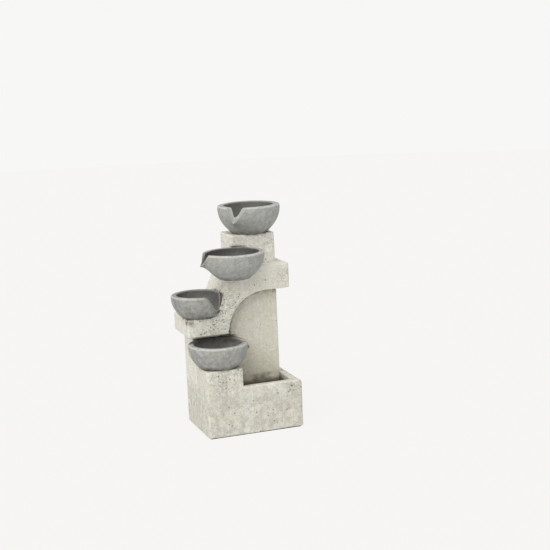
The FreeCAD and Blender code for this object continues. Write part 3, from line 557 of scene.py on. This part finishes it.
def press_spout(radius, angle, z, inner, bowl, spout):
    """Sinks by drop*vee and moves out by reach*exp(-side/w)*share^keel, less the hook and the cut.

    side is the way from the spout's middle line, and share runs from 0 below the spout to 1 at the rim.
    inner is 0 outside the bowl and 1 inside.
    """
    drop = spout.drop + spout.fall * (1 - inner)
    half = spout.half_out + (spout.half_in - spout.half_out) * inner
    deep = spout.drop + spout.fall + SPOUT_UNDER
    side = np.sqrt((bowl.rim * angle) ** 2 + 4.0) - 2.0
    vee = np.clip(1 - side / half, 0, 1)
    vee = 0.45 * vee * vee * (3 - 2 * vee) + 0.55 * vee
    cusp = np.exp(-side / min(0.42 * spout.half_out, 5.5))
    wide = np.exp(-(side / (0.8 * spout.half_out)) ** 2)
    near_wall = smoothstep(radius, bowl.rim - bowl.lip - WALL_REACH, bowl.rim - bowl.lip)
    share = np.clip((z - (bowl.height - deep)) / deep, 0, 1)
    lower = z - (drop * vee * share + 1.2 * wide * share) * near_wall
    beak = spout.reach * (0.8 * cusp + 0.2 * wide) * share ** spout.keel
    thinner = inner * (bowl.lip - spout.edge) * wide * share ** 0.5
    hook = spout.hook * 4 * share * (1 - share) * wide * (1 - inner)
    was, now = [wall_radius(np.clip(level / (bowl.height - LIP_ROUND_OUT), 0, 1), bowl.foot, bowl.rim)
                for level in (z, lower)]
    out = beak + thinner - hook - spout.cut * (was - now)
    return radius + out * near_wall, lower, side / spout.half_out, share


def bowl_points(section, bowl, spout, wetness, columns):
    """x, y, z in mm and how wet or darkened by painted shade, at the angles turn-0.55*sin(turn), which crowd
    together at the spout.
    """
    wet_inside, tip_wet_and_shade, shaded_side = wetness
    turn = np.linspace(-np.pi, np.pi, columns, endpoint=False)[:, None]
    angle = turn - 0.55 * np.sin(turn)
    radius = np.broadcast_to(section[:, 0], (columns, len(section)))
    z = np.broadcast_to(section[:, 1], radius.shape)
    row = np.arange(len(section))
    rim_rows = np.flatnonzero(section[:, 1] > bowl.height - RIM_SLACK)
    inner = smoothstep(row, rim_rows[0], rim_rows[-1])
    wet_and_shade = np.tile(wet_inside * smoothstep(row, rim_rows[-1] - 1, rim_rows[-1] + 2), (columns, 1))
    radius, z, side, share = press_spout(radius, angle, z, inner, bowl, spout)
    # painted shade: the tip and the underside of the beak are darkened, more on one side, and stored with the
    # wet mask
    shaded_lean = smoothstep(shaded_side * bowl.rim * angle, -2, 4)
    tip = np.exp(-(side / (0.45 + 0.45 * shaded_lean)) ** 2) * smoothstep(share, 0.55, 0.95)
    wet_and_shade = np.maximum(wet_and_shade, tip * (0.35 + 0.65 * shaded_lean) * tip_wet_and_shade)
    return np.stack([radius * np.cos(angle), radius * np.sin(angle), z], 2), wet_and_shade


# %% [markdown]
# A grid of points becomes faces by joining each point to the next one round and the next one along. The
# first and last rings shrink to one point each, so both poles close with triangles.

# %% Closed surface from a grid


def closed_surface(name, grid):
    """Mesh from a grid of rings: quads between columns, wrapped round, and one point at each pole."""
    columns, rows = grid.shape[:2]
    body = grid[:, 1:-1].reshape(-1, 3)
    points = np.concatenate([body, grid[:1, 0], grid[:1, -1]])
    inner = rows - 2
    c = np.arange(columns)[:, None] * inner
    n = (np.arange(columns)[:, None] + 1) % columns * inner
    r = np.arange(inner - 1)[None]
    quads = np.stack([c + r, n + r, n + r + 1, c + r + 1], 2).reshape(-1, 4)
    south, north = len(body), len(body) + 1
    first, second = c.ravel(), n.ravel()
    low = np.stack([np.full(columns, south), second, first], 1)
    high = np.stack([np.full(columns, north), first + inner - 1, second + inner - 1], 1)
    mesh = bpy.data.meshes.new(name)
    mesh.from_pydata(points.tolist(), [], quads.tolist() + low.tolist() + high.tolist())
    mesh.shade_smooth()
    return put_in_scene(name, mesh)


def add_pits(points, normals, count, seed, radii, depths):
    """Presses count round dents into the surface: each sinks by depth*exp(-(distance/radius)^2)."""
    rng = np.random.default_rng(seed)
    moved = points.copy()
    for centre, r, d in zip(rng.integers(0, len(points), count), rng.uniform(*radii, count) * MM,
                            rng.uniform(*depths, count) * MM):
        gap = ((points - points[centre]) ** 2).sum(1)
        close = gap < (3 * r) ** 2
        moved[close] -= normals[close] * (d * np.exp(-gap[close] / (r * r)))[:, None]
    return moved


# %% Masks of a bowl
SLAB_FRONT = box_mm("arch_casting")[0][1]
# the front plane of the wall that a bowl's back is let into
NICHE_FACE = {UPPER: SLAB_FRONT, LOWER: SLAB_FRONT + 1.5}


def bowl_stain(name, points, damp, painted_shade_all_over):
    """The darkest of painted shade round the foot, painted shade where the rim goes into its niche, and
    painted shade all over.
    """
    x, y, z = points.T / MM
    bowl = BOWLS[name]
    up = z - bowl.seat
    foot_shade = (1 - damp) * (1 - smoothstep(up, 0.5, 11.0)) * 0.7
    layers = [foot_shade, np.full(len(points), painted_shade_all_over)]
    if name in NICHE_FACE:
        face = NICHE_FACE[name]
        niche_shade = 0.8 * smoothstep(y, face + 3, face + 12)
        if name == UPPER:
            niche_shade *= smoothstep(x, -14, -8)
        layers.append(niche_shade * smoothstep(up, bowl.height - 12, bowl.height - 3))
    return np.maximum.reduce(layers)


# %% Make the four bowls
COLUMNS = 400
SECTION_STEP = 0.95
DENTS = 70

for seed, (name, bowl) in enumerate(BOWLS.items(), start=21):
    section = even_steps(bowl_section(bowl), SECTION_STEP, 3)
    grid, wet_and_shade = bowl_points(section, bowl, SPOUTS[name], WETNESS[name], COLUMNS)
    turn = math.radians(bowl.facing)
    x = grid[..., 0] * math.cos(turn) - grid[..., 1] * math.sin(turn) + bowl.x
    y = grid[..., 0] * math.sin(turn) + grid[..., 1] * math.cos(turn) + bowl.y
    piece = closed_surface(name + "_cast", np.stack([x, y, grid[..., 2] + bowl.seat], 2) * MM)
    mesh = piece.data
    points, normals = read_points(mesh, "co"), read_points(mesh, "normal")
    wear = smoothstep(outward_bend(mesh, points, normals), 0.03 * MM, 0.16 * MM)
    points = add_pits(points, normals, DENTS, seed, (0.9, 1.9), (0.3, 0.8))
    points += normals * (0.8 * stone_relief(points))[:, None]
    mesh.vertices.foreach_set("co", points.ravel())
    dry_underside, wet_floor = 0.0, 1.0
    damp = np.concatenate([wet_and_shade[:, 1:-1].ravel(), [dry_underside, wet_floor]])
    painted_light, painted_shade_all_over = BOWL_PAINTED_TONE[name]
    store_masks(mesh, wear=np.maximum(wear, painted_light), damp=damp, stain=bowl_stain(name, points, damp, painted_shade_all_over))
    mesh.materials.append(grey_cast)
    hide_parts(name)
    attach(piece, "fountain")
    print(name, len(mesh.polygons), "faces")

# %% [markdown]
# ## Castings with soft edges
# The engineering solids have machine-sharp edges, which no casting has. A merged copy of each is rebuilt
# from small cubes by Blender's voxel remesh, which rounds every edge by about one cube. The same relief
# noise then moves its points. Where two castings stand on each other, the copy reaches a few millimetres
# into its neighbour, so the joint closes as it does when the maker fills and rubs it.

# %% Merged and remeshed copies


def merged_copy(node, join_flat=False):
    """A copy of a node's mesh with doubled points merged and, if asked, flat triangles joined."""
    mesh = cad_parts[node].data.copy()
    shell = bmesh.new()
    shell.from_mesh(mesh)
    bmesh.ops.remove_doubles(shell, verts=shell.verts, dist=1e-6)
    if join_flat:
        bmesh.ops.dissolve_limit(shell, angle_limit=math.radians(1), verts=shell.verts, edges=shell.edges)
    shell.to_mesh(mesh)
    shell.free()
    return mesh


def cast_copy(node, cube, sink=None):
    """A merged copy, its joint face sunk into the neighbour, rebuilt from cubes; all lengths in mm."""
    mesh = merged_copy(node)
    if sink:
        axis, level, shift = sink
        points = read_points(mesh, "co")
        points[np.abs(points[:, axis] - level * MM) < 1e-5, axis] += shift * MM
        mesh.vertices.foreach_set("co", points.ravel())
    rough = put_in_scene(node + "_rough", mesh)
    remesh = rough.modifiers.new("cubes", "REMESH")
    remesh.mode = "VOXEL"
    remesh.voxel_size = cube * MM
    seen = rough.evaluated_get(bpy.context.evaluated_depsgraph_get())
    made = bpy.data.meshes.new_from_object(seen)
    bpy.data.objects.remove(rough)
    made.name = node + "_cast"
    made.materials.clear()
    made.shade_smooth()
    return put_in_scene(node + "_cast", made)


# %% Places on the castings
BASIN, TOWER, SLAB = "basin_casting", "tower_casting", "arch_casting"
POOL_RIM = 88.5
PANEL_FRONT = box_mm(TOWER)[0][1]
Y_AXIS, Z_AXIS = 1, 2
SINK = 4.0
# the side of the cubes, and the joint face that sinks: its axis, its level and its move
CASTINGS = {BASIN: (1.35, None),
            TOWER: (1.75, (Z_AXIS, POOL_RIM, -SINK)),
            SLAB: (1.3, (Y_AXIS, PANEL_FRONT, SINK))}
# how much paler a casting's upper half is painted, as painted light
CASTING_PAINTED_LIGHT = {SLAB: 0.3}
# the quarter arch: centre x, centre z and radius
ARCH_X, ARCH_Z, ARCH_R = 42.6, box_mm(SLAB)[0][2], 73.0
# the arch's edge runs on upright below its centre, down to this height
LEG_END = 168.0
# the smooth panel that the arch frames ends here, and its darker, yellower part starts here
PANEL_TOP, PANEL_RIGHT, PANEL_LEFT = 256.0, 71.0, -36.0
# the pool's inner corners: the basin's box less its floor and its walls
POOL_LOW = box_mm(BASIN)[0] + (11.8, 11.5, 10.5)
POOL_HIGH = box_mm(BASIN)[1] - (15.5, 11.7, 0.0)
# centre and reach of each crowd of bubble pits, where the mix filled a corner of its mould last
PIT_CROWDS = [((82, -26, 274), 22), ((-34, -26, 226), 30), ((-62, -26, 190), 22), ((-30, -10, 258), 20),
              ((60, 0, 338), 16), ((-64, -68, 96), 24), ((72, -68, 76), 16), ((-22, -68, 118), 14)]
# centre and reach of each brown painted shade under the middle bowl's foot, on its ledge
UNDER_BOWL_SHADE_MARKS = [((-107, -18, 207), 7), ((-101, -26, 207), 8)]
print("panel front", float(PANEL_FRONT), "mm, arch centre", ARCH_X, float(ARCH_Z), "mm")

# %% Distances and crowds


def bowl_distance(points):
    """Shortest way, in mm, from each point to the nearest bowl: level to its outer wall, then up or down."""
    x, y, z = points.T / MM
    nearest = np.full(len(points), 99.0)
    for bowl in BOWLS.values():
        away = np.hypot(x - bowl.x, y - bowl.y)
        up = z - bowl.seat
        wall = wall_radius(np.clip(up / (bowl.height - LIP_ROUND_OUT), 0, 1), bowl.foot, bowl.rim)
        gap = np.hypot(np.maximum(away - wall, 0), np.maximum(-up, 0) + np.maximum(up - bowl.height, 0))
        nearest = np.minimum(nearest, gap)
    return nearest


def arch_gap(points):
    """Way, in mm, from each point to the arch's edge: a quarter circle, upright below it and level beside."""
    x, _, z = points.T / MM
    ring = np.abs(np.hypot(x - ARCH_X, z - ARCH_Z) - ARCH_R)
    leg = np.where(z > LEG_END, np.abs(x - (ARCH_X - ARCH_R)), 99)
    beam = np.abs(z - (ARCH_Z + ARCH_R))
    return np.where(z < ARCH_Z, leg, np.where(x > ARCH_X, beam, ring))


def crowd_mask(points, places):
    """Sum of bells exp(-(distance/reach)^2), one for each centre and reach in the list."""
    total = np.zeros(len(points))
    for centre, reach in places:
        total += np.exp(-((points / MM - np.array(centre)) ** 2).sum(1) / reach ** 2)
    return np.clip(total, 0, 1)


# %% Stain of a casting


def casting_stain(node, points, on_panel, crevice_shade):
    """The darkest of seven marks, each at its own strength, clipped to 0..1: painted shade at the bowls'
    seats, under the middle bowl's foot, round the arch, along the upper bowl's rim and in crevices; painted
    shade and dirt along the panel's foot; and darker towards the basin's bottom.
    """
    x, _, z = points.T / MM
    to_bowl, to_arch = bowl_distance(points), arch_gap(points)
    patchy = 0.6 + 0.4 * smoothstep(lattice_noise(points, 12 * MM, 13), -0.4, 0.4)
    seat_shade = 0.8 * (1 - smoothstep(to_bowl, 0.3, 5.0)) * patchy
    under_bowl_shade = 0.9 * crowd_mask(points, UNDER_BOWL_SHADE_MARKS)
    fading = 1 - 0.6 * smoothstep(z, ARCH_Z + 10, ARCH_Z + 60)
    arch_shadow_line = 0.75 * fading * (1 - smoothstep(to_arch, 9.0, 12.0))
    arch_shade_haze = 0.22 * patchy * (1 - smoothstep(to_arch, 3, 30))
    rim_level = BOWLS[UPPER].seat + BOWLS[UPPER].height
    rim_shade_line = 0.85 * np.exp(-((z - rim_level) / 2.2) ** 2) * (1 - smoothstep(to_bowl, 4, 10))
    foot_shade_and_dirt = on_panel * (x > -20) * 0.7 * patchy ** 3 * (1 - smoothstep(z, POOL_RIM - 2, POOL_RIM + 8))
    low_darkening = (node == BASIN) * (0.26 - 0.18 * smoothstep(z, 60, 100))
    layers = [seat_shade, under_bowl_shade, on_panel * (arch_shadow_line + arch_shade_haze), rim_shade_line, foot_shade_and_dirt, 0.25 * crevice_shade, low_darkening]
    return np.clip(np.maximum.reduce(layers), 0, 1)


# %% Make the castings
for node, (cube, sink) in CASTINGS.items():
    piece = cast_copy(node, cube, sink)
    mesh = piece.data
    points, normals = read_points(mesh, "co"), read_points(mesh, "normal")
    bend = outward_bend(mesh, points, normals) / (cube * MM)
    wear = smoothstep(bend, 0.05, 0.45)
    crevice_shade = smoothstep(-bend, 0.05, 0.45)
    hatch_low, hatch_high = [np.array(corner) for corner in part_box("rear_hatch")]
    off_hatch = np.maximum(np.maximum(hatch_low - points, points - hatch_high), 0)
    free = smoothstep(np.linalg.norm(off_hatch, axis=1), 1 * MM, 8 * MM)
    chips = smoothstep(lattice_noise(points, 5 * MM, 11), 0.15, 0.75) * wear
    points += normals * (free * (stone_relief(points) - 0.75 * MM * chips))[:, None]
    mesh.vertices.foreach_set("co", points.ravel())
    x, y, z = points.T / MM
    on_panel = (node == TOWER) & (np.abs(y - PANEL_FRONT) < 2.5) & (z < PANEL_TOP) & (x < PANEL_RIGHT)
    in_pool = ((x > POOL_LOW[0]) & (x < POOL_HIGH[0]) & (y > POOL_LOW[1]) & (y < POOL_HIGH[1])
               & (z > POOL_LOW[2]))
    # painted light: the slab's upper half is painted paler through the wear and light mask
    painted_light = CASTING_PAINTED_LIGHT.get(node, 0.0) * smoothstep(z, 205, 250)
    store_masks(mesh, wear=np.maximum(wear, painted_light),
                damp=0.92 * in_pool * (1 - smoothstep(z, POOL_RIM - 14, POOL_RIM - 3)),
                stain=casting_stain(node, points, on_panel, crevice_shade),
                warm=on_panel * (x > PANEL_LEFT) * (1 - 0.45 * smoothstep(z, 88, 180)),
                pitted=crowd_mask(points, PIT_CROWDS))
    mesh.materials.append(sand_cast)
    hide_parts(node)
    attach(piece, "fountain")
    print(node, len(mesh.polygons), "faces")

# %% [markdown]
# ## Rear hatch
# The hatch lifts out of the tower's back. It is the same sandy casting, thinner, and it has to clear its
# opening, so it keeps its exact size: a merged copy gets small bevels and no relief.

# %% Hatch
HATCH_BEVEL = 0.7
hatch_mesh = merged_copy("rear_hatch", join_flat=True)
hatch = put_in_scene("rear_hatch_cast", hatch_mesh)
soft_edges = hatch.modifiers.new("soft_edges", "BEVEL")
soft_edges.width = HATCH_BEVEL * MM
soft_edges.segments = 3
soft_edges.limit_method = "ANGLE"
store_masks(hatch_mesh)
hatch_mesh.materials.clear()
hatch_mesh.materials.append(sand_cast)
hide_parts("rear_hatch")
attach(hatch, "hatch")
print("hatch", len(hatch_mesh.polygons), "faces before its bevels")

# %% [markdown]
# ## Pump, tube and small parts
# Inside the tower everything is moulded plastic, rubber, ceramic or metal. Their engineering shapes are
# right, so they only get finishes. One function makes a moulded finish, with a faint spark texture from the
# mould and marks from handling. The clear vinyl of the riser tube is one too, with light passing through.

# %% Moulded finishes


def moulded_finish(name, colour, rough, texture, worn=0.12, **fixed):
    """Colour with faint handling marks, roughness that follows them, and a fine mould texture as bump.

    Any other socket of the shader is fixed by name, with _ for a space.
    """
    material, tree, shader, where = start_material(name)
    skin = place_group(tree, moulded, Vector=where)
    paler = tuple(min(1.0, v * 1.35 + 0.012) for v in colour[:3]) + (1.0,)
    marked = blend_colour(tree, times(tree, skin["Handling"], worn), colour, paler)
    roughness = span(tree, skin["Handling"], 0, 1, rough - 0.06, rough + 0.08)
    bump = add(tree, "Bump", {"Height": skin["Texture"], "Strength": texture, "Distance": 0.1 * MM})
    connect(tree, shader, {"Base Color": marked, "Roughness": roughness, "Normal": bump.outputs[0]})
    connect(tree, shader, {socket.replace("_", " "): value for socket, value in fixed.items()})
    return material


black_plastic = moulded_finish("black_moulded", tint(30, 31, 33), 0.42, 0.35)
grey_plastic = moulded_finish("grey_moulded", tint(176, 176, 171), 0.45, 0.3)
blue_plastic = moulded_finish("blue_moulded", tint(45, 96, 158), 0.38, 0.25)
soft_rubber = moulded_finish("soft_rubber", tint(26, 26, 27), 0.62, 0.5)
foam_sheet = moulded_finish("foam_sheet", tint(38, 38, 38), 0.9, 1.0)
ferrite = moulded_finish("sintered_ferrite", tint(58, 58, 61), 0.5, 0.6)
shaft_ceramic = moulded_finish("ground_ceramic", tint(236, 234, 226), 0.2, 0.08)
potting = moulded_finish("potting_resin", tint(24, 25, 28), 0.22, 0.15)
clear_vinyl = moulded_finish("clear_vinyl", tint(214, 224, 222), 0.14, 0.1, worn=0.3,
                             Transmission_Weight=0.75, IOR=1.46)
print("moulded finishes made")

# %% [markdown]
# The remaining finishes each have a structure of their own: the coil is layered wire, the core is stacked
# steel sheet and the filter is an open-cell sponge.

# %% Wire, sheet steel and sponge


def banded_finish(name, light, dark, axis_scale, rough):
    """Fine parallel lines in metal, one for each turn of wire or each steel sheet, as colour and relief."""
    material, tree, shader, where = start_material(name)
    lines = add(tree, "Mapping", {"Vector": where, "Scale": axis_scale}).outputs[0]
    wave = add(tree, "TexWave", {"Vector": lines, "Scale": 1.0, "Distortion": 0.4, "Detail": 1.0},
               bands_direction="X", wave_profile="SIN").outputs["Fac"]
    bump = add(tree, "Bump", {"Height": wave, "Strength": 0.8, "Distance": 0.15 * MM})
    connect(tree, shader, {"Base Color": blend_colour(tree, wave, dark, light), "Roughness": rough,
                           "Normal": bump.outputs[0], "Metallic": 1.0})
    return material


copper_wire = banded_finish("enamelled_wire", tint(214, 128, 72), tint(120, 58, 26), (300.0, 0.0, 0.0), 0.3)
core_sheet = banded_finish("stacked_sheet", tint(150, 152, 156), tint(82, 84, 88), (320.0, 0.0, 0.0), 0.45)

sponge, tree, shader, where = start_material("open_sponge")
holes = add(tree, "TexVoronoi", {"Vector": where, "Scale": 700.0}, feature="DISTANCE_TO_EDGE")
wall = span(tree, holes.outputs["Distance"], 0.02, 0.2, 1.0, 0.0)
bump = add(tree, "Bump", {"Height": wall, "Strength": 1.0, "Distance": 0.6 * MM})
connect(tree, shader, {"Base Color": blend_colour(tree, wall, tint(14, 14, 14), tint(72, 72, 72)),
                       "Roughness": 0.95, "Normal": bump.outputs[0]})
print("inner finishes made")

# %% Give each inner piece its finish
FINISHES = {
    "base_pad": foam_sheet, "outlet_gasket": soft_rubber, "outlet_fitting": grey_plastic,
    "outlet_nut": grey_plastic, "pump_housing": black_plastic, "stator_core": core_sheet,
    "coil_bobbin": grey_plastic, "coil_winding": copper_wire, "potting_seal": potting,
    "pump_cord_gland": soft_rubber, "impeller_cover": black_plastic, "shaft_bushings": soft_rubber,
    "rotor_shaft": shaft_ceramic, "rotor_magnet": ferrite, "impeller": blue_plastic,
    "intake_strainer": black_plastic, "filter_sponge": sponge, "flow_regulator": grey_plastic,
    "suction_cups": soft_rubber, "pump_outlet_barb": black_plastic, "supply_tube": clear_vinyl,
    "tube_clips": grey_plastic, "cord_grommet": soft_rubber,
}
for node, finish in FINISHES.items():
    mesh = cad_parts[node].data
    mesh.materials.clear()
    mesh.materials.append(finish)
print(len(FINISHES), "inner pieces have a finish")

# %% [markdown]
# ## Finish
# The colour transform is the plain one, so that stone renders in the tone it was given.

# %% Finish
bpy.context.scene.view_settings.view_transform = "Standard"
